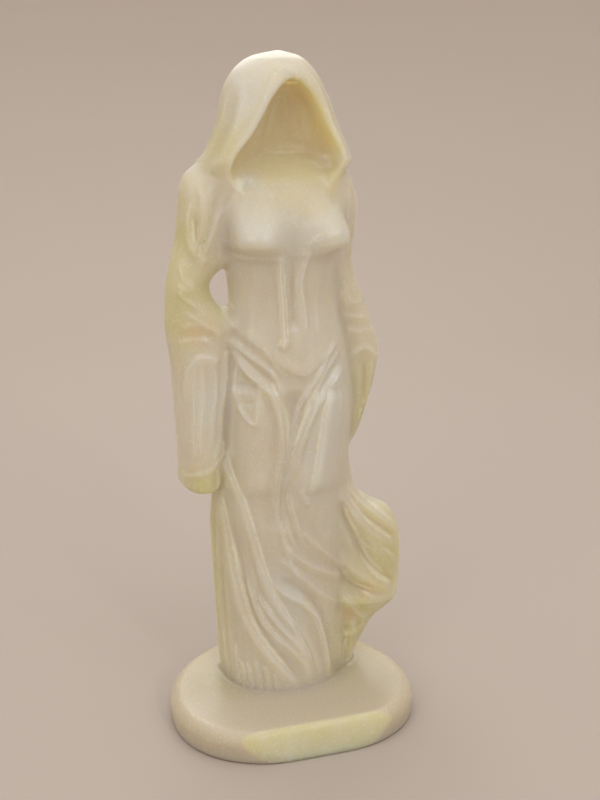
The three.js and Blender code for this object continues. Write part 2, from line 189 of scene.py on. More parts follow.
# A stroke of the chisel is: rise (a groove where negative), half width on the left of its
# travel, half width on the right, and its path. One narrow side gives the lip of a fold.
# On the gown, the hood and the sleeves a path is bearings and heights.
GOWN_SPREAD = 13.5
GOWN_STROKES = [
    # Neckline, cups and the seam under the bust
    (0.32, 0.8, 3.4, [(-44, 125.4), (-34, 124.0), (-27, 122.4), (-24, 120.5), (-21, 118.3), (-15, 116.8),
                      (-6, 115.2), (3, 113.9)]),
    (0.32, 0.8, 3.4, [(3, 113.9), (12, 114.0), (23, 114.7), (36, 116.0), (54, 117.2), (72, 119.0),
                      (82, 121.4)]),
    (0.25, 0.9, 0.9, [(-50, 121.0), (-60, 118.0), (-70, 114.4), (-72, 110.9), (-58, 108.8)]),
    (0.45, 0.5, 0.5, [(-76, 108.0), (-58, 107.3), (-45, 107.3), (-33, 107.2), (-22, 107.2), (-9, 106.4)]),
    (0.25, 0.6, 0.6, [(1, 108.2), (12, 107.9), (24, 108.0), (36, 108.9), (52, 109.6), (72, 108.6)]),
    (0.30, 0.35, 0.35, [(12, 110.2), (20, 111.2), (28, 112.0), (38, 112.9)]),
    (0.25, 0.3, 0.3, [(17, 111.7), (24, 112.4), (33, 113.3)]),
    (0.30, 0.9, 0.9, [(-66, 124.2), (-56, 123.6), (-46, 122.8)]),
    # Corset ridges
    (0.80, 0.6, 0.9, [(-17, 108.4), (-17, 105.0), (-16, 101.0), (-15, 97.0), (-15.5, 93.0), (-15, 90.4),
                      (-17, 88.6), (-22, 87.8)]),
    (0.45, 0.8, 0.8, [(-14, 90.0), (-17, 88.8), (-21, 88.0)]),
    (-0.50, 1.2, 1.2, [(-1, 108.0), (-1, 102.5), (-1, 98.1), (-3, 91.5)]),
    (0.60, 0.9, 0.8, [(9, 110.0), (14, 107.0), (11, 104.3), (9, 101.5), (12, 98.1), (13, 94.4), (9, 90.5)]),
    (0.25, 0.6, 0.6, [(33, 99.0), (31, 95.0), (28, 90.6)]),
    # Girdle: its lower edge, and the bands that gather under it
    (0.50, 2.2, 0.6, [(-80, 93.4), (-62, 90.8), (-46, 88.6), (-34, 87.0), (-22, 84.6), (-8, 82.8), (2, 82.1),
                      (12, 82.5), (24, 84.4), (39, 86.6), (56, 88.4), (76, 90.4)]),
    (0.50, 0.6, 0.5, [(-80, 90.8), (-72, 89.2), (-59, 86.8), (-45, 84.9), (-33, 83.0), (-25, 80.1),
                      (-20, 76.5)]),
    (0.40, 0.4, 0.4, [(-38, 88.0), (-31, 85.2), (-21, 82.4)]),
    (-0.40, 0.7, 0.7, [(-70, 87.2), (-55, 84.4), (-42, 82.4), (-31, 80.6), (-25, 77.4)]),
    (0.85, 1.1, 0.6, [(-78, 91.0), (-70, 87.6), (-62, 84.2), (-53, 82.0), (-42, 80.0), (-32, 78.5), (-27, 76.0),
                      (-23, 72.9), (-20, 69.4), (-17, 64.9), (-15, 59.0)]),
    (-0.40, 1.0, 1.0, [(-56, 80.4), (-44, 78.0), (-36, 75.6), (-31, 71.6), (-28, 66.4), (-25, 59.0)]),
    # Drop-shaped facet on her right thigh
    (0.50, 0.5, 0.7, [(-64, 84.5), (-66, 80.9), (-64, 77.4), (-60, 74.7), (-54, 72.8), (-48, 71.5),
                      (-42, 71.0)]),
    (0.35, 0.6, 0.6, [(-43, 70.4), (-43, 73.8), (-43, 77.0), (-45, 80.0)]),
    (-0.45, 2.0, 2.0, [(-56, 80.4), (-53, 75.2)]),
    # Gathers from her left hip to the valley between the legs
    (0.60, 0.6, 0.8, [(60, 87.6), (46, 85.0), (32, 82.6), (21, 79.6), (13, 76.2), (8, 72.9), (3, 69.0),
                      (-1, 65.0)]),
    (0.60, 0.5, 0.7, [(54, 89.0), (40, 86.6), (28, 83.4), (16, 80.3), (6, 77.6), (-1, 75.0), (-6, 71.9),
                      (-9, 68.4), (-10, 64.7), (-12, 59.0)]),
    (0.55, 0.5, 0.6, [(62, 83.5), (47, 81.3), (32, 79.3), (20, 77.0), (11, 74.1), (5, 71.0), (0, 67.9),
                      (-4, 64.7), (-8, 60.6), (-12, 55.5)]),
    (0.50, 0.5, 0.6, [(32, 78.7), (19, 76.0), (11, 73.0), (6, 70.1), (2, 66.5), (-2, 62.3), (-7, 57.5)]),
    # Her left thigh: a long thin edge that ends in a hook
    (0.80, 2.2, 0.45, [(54, 83.8), (40, 81.0), (31, 77.9), (25, 75.0), (22, 71.6), (20, 67.1), (18.5, 62.6),
                       (16.5, 57.6), (15, 51.7)]),
    (0.50, 0.5, 0.7, [(16, 51.6), (11, 53.4), (5, 55.8)]),
    (0.20, 0.5, 0.5, [(48, 80.8), (44, 74.3), (41, 69.3)]),
    (1.10, 5.5, 5.5, [(30, 78.0), (27, 68.0), (20, 54.0)]),
    (1.00, 6.0, 6.0, [(-48, 80.0), (-46, 70.0), (-38, 54.0)]),
    (-1.30, 3.2, 3.2, [(-4, 79.0), (-9, 68.0), (-14, 57.0), (-15, 46.0)]),
    # Knees and the middle of the skirt
    (0.50, 0.6, 0.9, [(-18, 65.0), (-20, 60.4), (-21, 55.9), (-20, 52.0), (-15, 48.0), (-9, 44.0), (-4, 38.8),
                      (3, 33.0)]),
    (0.40, 0.6, 0.7, [(-14, 60.0), (-13, 55.0), (-11, 50.5), (-5, 46.0), (3, 41.0)]),
    (0.40, 0.5, 0.6, [(-8, 57.5), (-5, 53.8), (-1, 50.8), (4, 47.6), (10, 42.9)]),
    # Long folds from her right hip, round to the hem in front
    (1.00, 0.6, 2.6, [(-86, 70.0), (-77, 65.2), (-68, 60.6), (-59, 56.6), (-50, 52.0), (-43, 47.0), (-38, 42.2),
                      (-34, 37.6), (-29, 33.4), (-22, 29.6), (-11, 25.0), (3, 18.8), (15, 12.4), (23, 6.8)]),
    (1.00, 0.7, 2.2, [(-92, 62.0), (-80, 55.0), (-71, 49.0), (-67, 43.4), (-65, 38.4), (-63, 34.4), (-60, 30.8),
                      (-57, 27.4), (-52, 23.9), (-42, 19.6), (-27, 15.0), (-10, 10.4), (4, 6.6)]),
    (0.70, 0.6, 1.0, [(-54, 36.5), (-47, 31.0), (-42, 27.3), (-36, 24.1), (-24, 20.4), (-8, 17.0), (8, 12.6),
                      (17, 7.5)]),
    (0.50, 0.6, 0.8, [(-40, 30.6), (-29, 25.9), (-15, 21.8), (0, 17.8), (13, 12.6)]),
    (-0.60, 1.1, 1.1, [(-60, 46.0), (-56, 38.0), (-54, 32.0), (-50, 27.5), (-44, 23.3), (-31, 18.2), (-14, 13.6),
                       (1, 8.5)]),
    (-0.40, 0.7, 0.7, [(-46, 44.0), (-42, 37.0), (-37, 32.0), (-30, 28.4), (-17, 24.6), (0, 19.6)]),
    # Folds that sweep across to the tail
    (0.45, 0.8, 0.9, [(-12, 43.0), (3, 39.6), (20, 36.6), (44, 33.4), (74, 29.3)]),
    (0.45, 0.8, 0.9, [(8, 46.5), (26, 41.8), (45, 37.6), (64, 34.0), (82, 31.0)]),
    (0.50, 0.8, 0.8, [(-16, 39.5), (-2, 36.4), (12, 33.4), (32, 28.8), (58, 24.6)]),
    (-0.60, 1.0, 1.0, [(-16, 34.6), (0, 32.2), (14, 29.8), (28, 26.0), (39, 20.0), (45, 10.0)]),
    (0.70, 1.1, 0.7, [(-30, 34.6), (-18, 31.8), (-7, 29.8), (4, 28.4), (15, 26.2), (26, 22.6), (33, 18.0),
                      (38, 12.1), (41, 6.6)]),
    (0.45, 0.9, 0.9, [(-10, 24.6), (6, 20.6), (18, 15.6), (28, 9.0)]),
    # Her right side, and the flutes over the hem
    (0.70, 0.9, 0.9, [(-76, 52.0), (-82, 43.0), (-86, 34.0), (-87, 25.0), (-84, 15.6), (-80, 7.0)]),
    (0.50, 0.8, 0.8, [(-98, 50.0), (-99, 38.4), (-99, 22.3), (-98, 7.0)]),
    (0.35, 0.7, 0.7, [(-74, 40.0), (-75, 28.0), (-73, 16.0), (-71, 7.0)]),
    (0.50, 0.5, 0.5, [(-68, 17.0), (-66, 11.0), (-65, 6.4)]),
    (0.50, 0.45, 0.45, [(-62, 13.0), (-59, 9.6), (-58, 6.4)]),
    (0.50, 0.45, 0.45, [(-55, 13.0), (-52, 9.6), (-51, 6.4)]),
    (0.35, 0.5, 0.5, [(-46, 14.0), (-43, 10.0), (-42, 6.4)]),
    (0.35, 0.5, 0.5, [(-36, 12.6), (-33, 9.6), (-32, 6.4)]),
    (0.35, 0.5, 0.6, [(-26, 11.0), (-23, 8.6), (-22, 6.4)]),
]
LEFT_SLEEVE_SPREAD = 6.4
LEFT_SLEEVE_STROKES = [
    # Mouth of the bell, its ridges and its rolled hem
    (0.60, 2.6, 0.45, [(34, 85.0), (22, 85.8), (3, 86.3), (-17, 86.2), (-36, 83.4), (-46, 79.7), (-49, 74.1)]),
    (0.45, 0.5, 0.5, [(-8, 85.4), (-9, 78.4), (-11, 72.4), (-14, 68.3), (-17, 62.7)]),
    (0.35, 0.5, 0.5, [(-26, 83.4), (-25, 75.4), (-27, 69.4), (-30, 62.2)]),
    (0.40, 0.6, 0.6, [(19, 84.4), (20, 78.0), (13, 72.9), (6, 64.5)]),
    (0.55, 0.7, 0.7, [(48, 86.4), (40, 78.7), (32, 73.9), (26, 67.6), (12, 62.0)]),
    (0.30, 0.5, 0.5, [(40, 67.0), (28, 63.8), (12, 61.4)]),
    (0.40, 0.6, 0.7, [(-78, 58.6), (-46, 59.2), (-20, 59.8), (4, 60.6), (30, 63.0), (50, 67.0)]),
    # Wrinkles in the bend of the arm, and long folds down from the shoulder
    (0.30, 0.5, 0.7, [(-60, 106.4), (-45, 104.6), (-22, 102.6), (6, 101.2)]),
    (0.28, 0.5, 0.6, [(-38, 100.4), (-18, 98.5), (4, 96.9)]),
    (0.30, 0.6, 0.6, [(-52, 92.2), (-34, 93.0), (-12, 93.3), (18, 91.5)]),
    (0.25, 0.5, 0.5, [(-40, 101.8), (-20, 100.6), (10, 101.2)]),
    (0.30, 0.6, 0.6, [(-34, 95.4), (-10, 94.2), (12, 92.6), (38, 90.6)]),
    (0.25, 0.6, 0.6, [(-60, 88.8), (-40, 89.6), (-10, 90.0), (20, 88.4)]),
    (0.50, 0.6, 0.9, [(-24, 123.0), (-14, 118.9), (-14, 115.4), (-22, 111.6), (-34, 107.6)]),
    (0.35, 0.5, 0.5, [(-2, 122.5), (-4, 116.8), (-10, 111.0)]),
    (0.45, 0.6, 0.7, [(30, 121.4), (21, 117.4), (8, 112.9), (-6, 108.0)]),
    (0.55, 0.7, 1.2, [(-44, 119.0), (-46, 112.6), (-36, 109.4), (-10, 107.2), (12, 106.2)]),
    (-0.35, 1.0, 1.0, [(-34, 116.0), (-30, 112.0), (-12, 109.6)]),
]
RIGHT_SLEEVE_SPREAD = 5.2
RIGHT_SLEEVE_STROKES = [
    (0.30, 0.5, 0.6, [(-16, 98.4), (0, 96.7), (20, 95.3), (56, 96.3)]),
    (0.35, 0.5, 0.5, [(-30, 93.0), (-8, 92.3), (20, 92.0), (62, 92.2)]),
    (0.30, 0.5, 0.5, [(-26, 89.4), (0, 88.6), (30, 89.0), (60, 88.4)]),
    (0.50, 0.7, 0.8, [(-22, 83.0), (0, 84.6), (24, 84.6), (64, 81.6)]),
    (0.30, 0.5, 0.5, [(6, 100.5), (2, 97.4), (-4, 94.4)]),
    (0.40, 0.8, 0.8, [(-12, 82.3), (-2, 76.6), (2, 71.7), (7, 64.8)]),
    (-0.40, 0.8, 0.8, [(14, 82.0), (16, 75.0), (18, 67.0)]),
    (0.35, 0.7, 0.7, [(34, 82.0), (32, 75.0), (28, 66.0)]),
    (0.40, 0.7, 0.7, [(30, 122.0), (24, 116.0), (14, 108.0), (4, 101.0)]),
    (0.40, 0.7, 0.7, [(62, 121.0), (58, 113.0), (50, 105.0)]),
]
HOOD_SPREAD = 12.5
HOOD_STROKES = [
    # Rolled rim of the opening
    (0.35, 0.9, 0.9, [(10, 146.2), (-8, 146.3), (-22, 145.5), (-33, 143.1), (-41, 139.3), (-47, 136.0),
                      (-54, 132.8), (-62, 129.8), (-70, 126.8)]),
    (0.35, 0.9, 0.9, [(10, 146.2), (26, 145.8), (38, 143.8), (43, 140.9), (45, 136.8), (47, 132.2),
                      (49, 128.8), (46, 126.6), (34, 126.2)]),
    # Soft folds that fall behind the rim to the shoulder
    (0.30, 1.2, 1.6, [(-62, 143.0), (-66, 137.0), (-74, 130.0), (-84, 123.0)]),
    (0.30, 1.0, 1.4, [(-84, 141.0), (-86, 135.0), (-92, 127.0), (-98, 120.0)]),
    (-0.25, 1.4, 1.4, [(-74, 141.0), (-77, 134.0), (-84, 127.0)]),
    (0.30, 1.2, 1.6, [(70, 142.0), (72, 135.0), (76, 128.0)]),
]
HOLLOW_SPREAD = 6.0
HOLLOW_STROKES = [
    (-0.40, 0.6, 0.7, [(119, 139.4), (120, 135.5), (116, 131.3)]),
    (-0.35, 0.6, 0.7, [(142, 138.6), (138, 134.6), (131, 131.0)]),
    (-0.30, 0.7, 0.7, [(166, 142.0), (158, 138.7), (148, 133.5)]),
    (-0.30, 0.7, 0.7, [(-172, 141.8), (-167, 137.7), (-158, 132.1)]),
    (-0.25, 0.7, 0.7, [(-146, 139.0), (-141, 135.0), (-136, 131.6)]),
]
# On the tail a path is x and heights
TAIL_STROKES = [
    (-1.20, 1.4, 1.4, [(12.6, 50.0), (14.4, 45.6), (17.1, 39.6), (19.8, 33.9), (23.9, 29.2), (28.2, 25.8)]),
    (0.90, 1.5, 1.6, [(7.5, 42.0), (10.9, 38.0), (13.6, 34.6), (16.8, 31.4), (20.8, 28.3), (26.4, 24.4)]),
    (-0.80, 1.1, 1.1, [(4.8, 36.0), (11.2, 32.2), (15.6, 28.4), (21.6, 25.0)]),
    (0.70, 1.1, 1.3, [(12.2, 53.0), (13.9, 49.6), (15.8, 46.2), (18.9, 42.5), (22.3, 39.4), (26.6, 36.4)]),
    (0.65, 0.8, 0.9, [(14.6, 53.4), (17.6, 49.7), (20.8, 46.5), (24.6, 43.1), (28.6, 39.4)]),
    (-0.35, 0.9, 0.9, [(15.2, 50.6), (18.6, 45.8), (23.0, 41.6), (27.6, 37.6)]),
    (0.45, 0.8, 0.8, [(19.0, 39.6), (23.4, 35.6), (28.6, 31.0)]),
    (0.70, 1.2, 1.3, [(11.0, 25.0), (17.5, 23.7), (24.0, 22.7), (29.6, 22.7)]),
    (-0.60, 0.9, 0.9, [(4.7, 30.4), (9.6, 26.2), (13.0, 21.6)]),
    (0.55, 0.8, 0.9, [(8.0, 31.0), (13.0, 26.6), (17.5, 20.5), (21.0, 17.6)]),
    (0.50, 0.7, 0.7, [(13.4, 14.6), (16.4, 15.6), (20.4, 16.8)]),
    (0.80, 0.7, 0.8, [(5.0, 26.0), (6.3, 22.0), (7.9, 17.0), (8.9, 12.5), (9.6, 6.6)]),
    (-1.00, 0.7, 0.7, [(9.0, 23.0), (10.2, 16.0), (11.0, 11.5), (11.5, 6.4)]),
    (0.70, 0.6, 0.6, [(11.6, 20.0), (12.1, 15.2), (12.7, 11.4), (13.3, 6.4)]),
    (-0.60, 0.6, 0.6, [(14.0, 18.0), (14.5, 12.0), (14.7, 6.4)]),
    (0.55, 0.8, 0.9, [(16.5, 19.0), (16.4, 14.0), (16.2, 6.4)]),
]

# Plain folds of the parts that face away: count, rise, and where they start and are full
BACK_FOLDS = (-150, -128, -106, 112, 134, 156, 178)
BACK_FOLD_WIDTH = 2.4
BACK_FOLD_RISE = 1.1
BACK_FOLD_TOP = 84
BACK_FOLD_FULL = 44
SLEEVE_FLUTES = 6
SLEEVE_FLUTE_RISE = 0.45
SLEEVE_FLUTES_START = 90
SLEEVE_FLUTES_FULL = 78
VEIL_FOLDS = 7
VEIL_FOLD_RISE = 0.55
VEIL_FOLDS_START = 138
VEIL_FOLDS_FULL = 122
VEIL_RIM_BEARING = 60
VEIL_SIDE_BEARING = 90

# How softly one form runs into the next
BLEND_BODY = 2.2
BLEND_ARM = 3.0
BLEND_TAIL = 1.8
BLEND_FOOT = 1.2
BLEND_RIM = 1.6

LEVEL_STEP = 0.2
BEARING_STEP = 0.5
FAR = 6.0
TRIANGLE_LIMIT = 192000


def linear(hex_colour):
    """Linear red, green, blue and alpha of an sRGB hex colour."""
    parts = [int(hex_colour[i:i + 2], 16) / 255 for i in (0, 2, 4)]
    return (*(c / 12.92 if c <= 0.04045 else ((c + 0.055) / 1.055) ** 2.4 for c in parts), 1.0)


def ramp(value, start, end):
    """Smooth step from 0 at start to 1 at end."""
    t = np.clip((value - start) / (end - start), 0, 1)
    return t * t * (3 - 2 * t)


def wrapped(angle):
    """Angle in radians brought within half a turn of zero."""
    return (angle + np.pi) % (2 * np.pi) - np.pi


def soft_least(a, b, blend):
    """Least of two distances, rounded where they meet: joins two forms."""
    h = np.clip(0.5 + 0.5 * (b - a) / blend, 0, 1)
    return b + (a - b) * h - blend * h * (1 - h)


def soft_most(a, b, blend):
    """Greatest of two distances, rounded where they meet: keeps what both forms share."""
    return -soft_least(-a, -b, blend)


def values_at(rows, heights):
    """Every column of a section table at each height, on smooth curves through its rows."""
    table = np.array(rows, float)
    levels = table[:, 0]
    heights = np.clip(heights, levels[0], levels[-1])
    low = np.clip(np.searchsorted(levels, heights, side="right") - 1, 0, len(levels) - 2)
    before = np.maximum(np.arange(len(levels)) - 1, 0)
    after = np.minimum(np.arange(len(levels)) + 1, len(levels) - 1)
    slopes = (table[after] - table[before]) / (levels[after] - levels[before])[:, None]
    span = (levels[low + 1] - levels[low])[:, None]
    s = (heights - levels[low])[:, None] / span
    return (
        (2 * s**3 - 3 * s**2 + 1) * table[low]
        + (s**3 - 2 * s**2 + s) * span * slopes[low]
        + (3 * s**2 - 2 * s**3) * table[low + 1]
        + (s**3 - s**2) * span * slopes[low + 1]
    )


def smooth_path(points, steps=6):
    """Points on a Catmull-Rom curve through the given ones."""
    p = np.array([points[0], *points, points[-1]], float)
    t = (np.arange(steps) / steps)[:, None]
    parts = [
        0.5 * (2 * b + (c - a) * t + (2 * a - 5 * b + 4 * c - d) * t**2 + (3 * b - a - 3 * c + d) * t**3)
        for a, b, c, d in zip(p, p[1:], p[2:], p[3:])
    ]
    return np.vstack([*parts, p[-1:]])


def stroke_relief(strokes, across, up, unit):
    """Rise of all strokes over a surface laid flat: across and up are its grid lines in mm."""
    total = np.zeros((len(up), len(across)))
    for rise, left, right, points in strokes:
        path = smooth_path(points) * (unit, 1.0)
        reach = 2.6 * max(left, right)
        columns = np.flatnonzero((across > path[:, 0].min() - reach) & (across < path[:, 0].max() + reach))
        lines = np.flatnonzero((up > path[:, 1].min() - reach) & (up < path[:, 1].max() + reach))
        spots = np.stack(np.meshgrid(across[columns], up[lines]), -1).reshape(-1, 1, 2)
        starts, runs = path[:-1], path[1:] - path[:-1]
        t = np.clip(((spots - starts) * runs).sum(-1) / (runs**2).sum(-1), 0, 1)
        away = spots - starts - t[..., None] * runs
        gaps = np.hypot(away[..., 0], away[..., 1])
        nearest = gaps.argmin(1)
        pick = (np.arange(len(nearest)), nearest)
        side = runs[nearest, 0] * away[pick][:, 1] - runs[nearest, 1] * away[pick][:, 0]
        along = (nearest + t[pick]) / len(runs)
        fade = ramp(np.minimum(along, 1 - along), -0.03, 0.16)
        bell = np.exp(-((gaps[pick] / np.where(side > 0, left, right)) ** 2))
        total[np.ix_(lines, columns)] += (rise * fade * bell).reshape(len(lines), len(columns))
    return total


class Form:
    """A carved form made of level sections: one radius for each height and bearing."""

    def __init__(self, rows, turn=0.0, relief=None, drop=0.0):
        self.low, self.high = rows[0][0] - drop, rows[-1][0]
        self.levels = np.arange(self.low - LEVEL_STEP, self.high + 2 * LEVEL_STEP, LEVEL_STEP)
        self.bearings = np.radians(np.arange(-180, 180 + BEARING_STEP, BEARING_STEP))
        self.turn = math.radians(turn)
        behind = np.maximum(0, -np.cos(self.bearings)) ** 2
        share = np.linspace(0, 1, 200)
        foot = rows[0][0]
        heights = np.empty((len(self.levels), len(self.bearings)))
        self.hem = foot - drop * behind
        for j, back in enumerate(behind):
            lifted = foot + (self.high - foot) * share
            heights[:, j] = np.interp(
                self.levels, lifted - drop * back * (1 - share) ** VEIL_DROP_REACH, lifted)
        section = values_at(rows, heights.ravel()).reshape(*heights.shape, 6)
        centre = values_at(rows, self.levels)
        self.centre_x, self.centre_y = centre[:, 1], centre[:, 2]
        depth = np.where(np.cos(self.bearings) > 0, section[..., 4], section[..., 5])
        oval = 1 / np.hypot(np.sin(self.bearings) / section[..., 3], np.cos(self.bearings) / depth)
        self.radius = oval if relief is None else relief(oval, self.bearings, self.levels)
        steepness = np.gradient(self.radius, LEVEL_STEP, axis=0)
        self.ease = 1 / np.sqrt(1 + np.minimum(np.abs(steepness), 4) ** 2)
        widest = self.radius.max() + FAR
        self.box = np.array([
            [min(self.centre_x) - widest, min(self.centre_y) - widest, self.low - FAR],
            [max(self.centre_x) + widest, max(self.centre_y) + widest, self.high + FAR],
        ])

    def distance(self, x, y, z):
        """Distance outside the form, in mm: exact at its surface, near enough around it."""
        t = np.clip((z - self.levels[0]) / LEVEL_STEP, 0, len(self.levels) - 1.001)
        i = t.astype(int)
        f = t - i
        dx = x - self.centre_x[i] - (self.centre_x[i + 1] - self.centre_x[i]) * f
        dy = y - self.centre_y[i] - (self.centre_y[i + 1] - self.centre_y[i]) * f
        bearing = wrapped(np.arctan2(dx, -dy) - self.turn)
        s = np.clip((bearing + np.pi) / math.radians(BEARING_STEP), 0, len(self.bearings) - 1.001)
        j = s.astype(int)
        g = s - j

        def blended(grid):
            low = grid[i, j] * (1 - g) + grid[i, j + 1] * g
            high = grid[i + 1, j] * (1 - g) + grid[i + 1, j + 1] * g
            return low * (1 - f) + high * f

        side = (np.hypot(dx, dy) - blended(self.radius)) * blended(self.ease)
        foot = self.hem[j] * (1 - g) + self.hem[j + 1] * g
        return np.maximum(side, np.maximum(foot - z, z - self.high))


def gown_relief(oval, bearings, levels):
    """Bust, folds and every stroke of the gown, added to its plain ovals."""
    z = levels[:, None]
    radius = oval
    lift = z - BUST["height"]
    shape = BUST["rise"] * np.exp(-((lift / np.where(lift > 0, BUST["above"], BUST["below"])) ** 2))
    for side in (-1, 1):
        swing = np.degrees(wrapped(bearings - side * math.radians(BUST["bearing"])))[None, :]
        radius = radius + shape * np.exp(-(np.abs(swing / BUST["spread"]) ** 2.6))
    fall = ramp(z, BACK_FOLD_TOP, BACK_FOLD_FULL)
    for fold in BACK_FOLDS:
        swing = wrapped(bearings - math.radians(fold))[None, :] * GOWN_SPREAD
        radius = radius + fall * BACK_FOLD_RISE * np.exp(-((swing / BACK_FOLD_WIDTH) ** 2))
    return radius + stroke_relief(GOWN_STROKES, bearings * GOWN_SPREAD, levels, math.radians(GOWN_SPREAD))


def hood_relief(oval, bearings, levels):
    """Rim and folds of the hood."""
    side = ramp(np.abs(bearings), math.radians(VEIL_RIM_BEARING), math.radians(VEIL_SIDE_BEARING))
    fall = ramp(levels, VEIL_FOLDS_START, VEIL_FOLDS_FULL)[:, None]
    folds = side * fall * VEIL_FOLD_RISE * np.cos(VEIL_FOLDS * bearings)
    return oval + folds + stroke_relief(
        HOOD_STROKES, bearings * HOOD_SPREAD, levels, math.radians(HOOD_SPREAD))


def hollow_relief(oval, bearings, levels):
    """Ridges left by the gouge inside the hood."""
    return oval + stroke_relief(
        HOLLOW_STROKES, bearings * HOLLOW_SPREAD, levels, math.radians(HOLLOW_SPREAD))


def sleeve_relief(strokes, spread):
    """Folds and flutes of one sleeve."""
    def add(oval, bearings, levels):
        away = ramp(np.abs(bearings), math.radians(60), math.radians(100))
        fall = ramp(levels, SLEEVE_FLUTES_START, SLEEVE_FLUTES_FULL)[:, None]
        flutes = away * fall * SLEEVE_FLUTE_RISE * np.cos(SLEEVE_FLUTES * bearings)
        return oval + flutes + stroke_relief(strokes, bearings * spread, levels, math.radians(spread))
    return add


class Figurine:
    """The whole carving as one distance field, in mm."""

    def __init__(self):
        self.gown = Form(GOWN, relief=gown_relief)
        self.hood = Form(HOOD, HOOD_TURN, hood_relief, VEIL_DROP)
        self.hollow = Form(HOLLOW, HOOD_TURN, hollow_relief)
        self.left_arm = Form(LEFT_ARM, relief=sleeve_relief(LEFT_SLEEVE_STROKES, LEFT_SLEEVE_SPREAD))
        self.right_arm = Form(RIGHT_ARM, relief=sleeve_relief(RIGHT_SLEEVE_STROKES, RIGHT_SLEEVE_SPREAD))
        self.tail = Form(TAIL)
        self.tail_x = np.arange(0, 34, LEVEL_STEP)
        self.tail_relief = stroke_relief(TAIL_STROKES, self.tail_x, self.tail.levels, 1.0)

    def tail_distance(self, x, y, z):
        """The tail, with its strokes pressed through it from front to back."""
        t = np.clip((z - self.tail.levels[0]) / LEVEL_STEP, 0, len(self.tail.levels) - 1.001)
        s = np.clip(x / LEVEL_STEP, 0, len(self.tail_x) - 1.001)
        i, j = t.astype(int), s.astype(int)
        f, g = t - i, s - j
        grid = self.tail_relief
        low = grid[i, j] * (1 - g) + grid[i, j + 1] * g
        high = grid[i + 1, j] * (1 - g) + grid[i + 1, j + 1] * g
        push = (low * (1 - f) + high * f) * (0.8 - 0.2 * np.tanh((y - 8) / 2))
        return self.tail.distance(x, y + push, z)

    def slab_distance(self, x, y, z):
        """The slab: an oval with rounded edges and a sawn face that leans back."""
        bearing = np.arctan2(x, -y)
        front = np.cos(bearing) > 0
        power = np.where(front, SLAB_FRONT_SQUARENESS, 2.0)
        depth = np.where(front, SLAB_FRONT_DEPTH, SLAB_BACK_DEPTH)
        edge = (
            (np.abs(np.sin(bearing)) / SLAB_HALF_WIDTH) ** power
            + (np.abs(np.cos(bearing)) / depth) ** power
        ) ** (-1 / power)
        side = np.hypot(x, y) - edge

        def rounded(lift, bend):
            a, b = side + bend, lift + bend
            return np.hypot(np.maximum(a, 0), np.maximum(b, 0)) + np.minimum(np.maximum(a, b), 0) - bend

        whole = np.maximum(rounded(z - SLAB_THICKNESS, SLAB_EDGE_ROUND), rounded(-z, SLAB_FOOT_ROUND))
        lean = math.radians(SLAB_FACE_LEAN)
        face = -(y - SLAB_FACE_FOOT_Y) * math.cos(lean) + z * math.sin(lean)
        return soft_most(whole, face, SLAB_FACE_EDGE)

    def distance(self, points):
        """Distance outside the whole carving at each point."""
        def near(form, measure):
            gap = np.full(len(points), FAR)
            close = ((points > form.box[0]) & (points < form.box[1])).all(1)
            gap[close] = measure(*points[close].T)
            return gap

        hood = near(self.hood, self.hood.distance)
        hood = soft_most(hood, -near(self.hollow, self.hollow.distance), BLEND_RIM)
        whole = soft_least(hood, near(self.gown, self.gown.distance), BLEND_BODY)
        whole = soft_least(whole, near(self.tail, self.tail_distance), BLEND_TAIL)
        for arm in (self.left_arm, self.right_arm):
            whole = soft_least(whole, near(arm, arm.distance), BLEND_ARM)
        low = points[:, 2] < SLAB_THICKNESS + FAR
        slab = np.full(len(points), FAR)
        slab[low] = self.slab_distance(*points[low].T)
        return soft_least(whole, slab, BLEND_FOOT)

    def slope(self, points, step=0.06):
        """Gradient of the distance, which points outwards."""
        return np.stack([
            (self.distance(points + offset) - self.distance(points - offset)) / (2 * step)
            for offset in np.eye(3) * step
        ], 1)

    def settle(self, points, rounds=2, limit=0.25):
        """Points moved onto the surface."""
        for _ in range(rounds):
            slope = self.slope(points)
            gap = self.distance(points) / np.maximum((slope**2).sum(1), 0.05)
            move = slope * gap[:, None]
            length = np.sqrt((move**2).sum(1, keepdims=True))
            points = points - move * np.minimum(1, limit / np.maximum(length, 1e-9))
        return points


def carve(figurine, step):
    """Vertices in mm and quads of the carving, meshed on a grid of the given step."""
    coarse = 4
    low = np.array([-30.6, -25.2, -1.2])
    high = np.array([31.6, 29.2, 151.6])
    blocks = np.ceil((high - low) / (step * coarse)).astype(int)
    axes = [low[a] + step * (coarse * np.arange(blocks[a]) + (coarse - 1) / 2) for a in range(3)]
    spots = np.stack(np.meshgrid(*axes, indexing="ij"), -1).reshape(-1, 3)
    field = figurine.distance(spots).reshape(blocks)
    for axis in range(3):
        field = field.repeat(coarse, axis)
    near = np.argwhere(np.abs(field) < 3.0)
    for part in np.array_split(near, 12):
        field[tuple(part.T)] = figurine.distance(low + step * part)
    grid = openvdb.FloatGrid(FAR)
    grid.copyFromArray(field.astype(np.float32))
    points, quads = grid.convertToQuads(0.0)
    return figurine.settle(low + step * points.astype(float)), quads


def mesh_from(name, points, quads):
    """A mesh of quads, in metres."""
    mesh = bpy.data.meshes.new(name)
    mesh.vertices.add(len(points))
    mesh.vertices.foreach_set("co", (points * MM).astype(np.float32).ravel())
    mesh.loops.add(quads.size)
    mesh.loops.foreach_set("vertex_index", quads.astype(np.int32).ravel())
    mesh.polygons.add(len(quads))
    mesh.polygons.foreach_set("loop_start", np.arange(0, quads.size, 4, dtype=np.int32))
    mesh.update(calc_edges=True)
    mesh.validate()
    return mesh


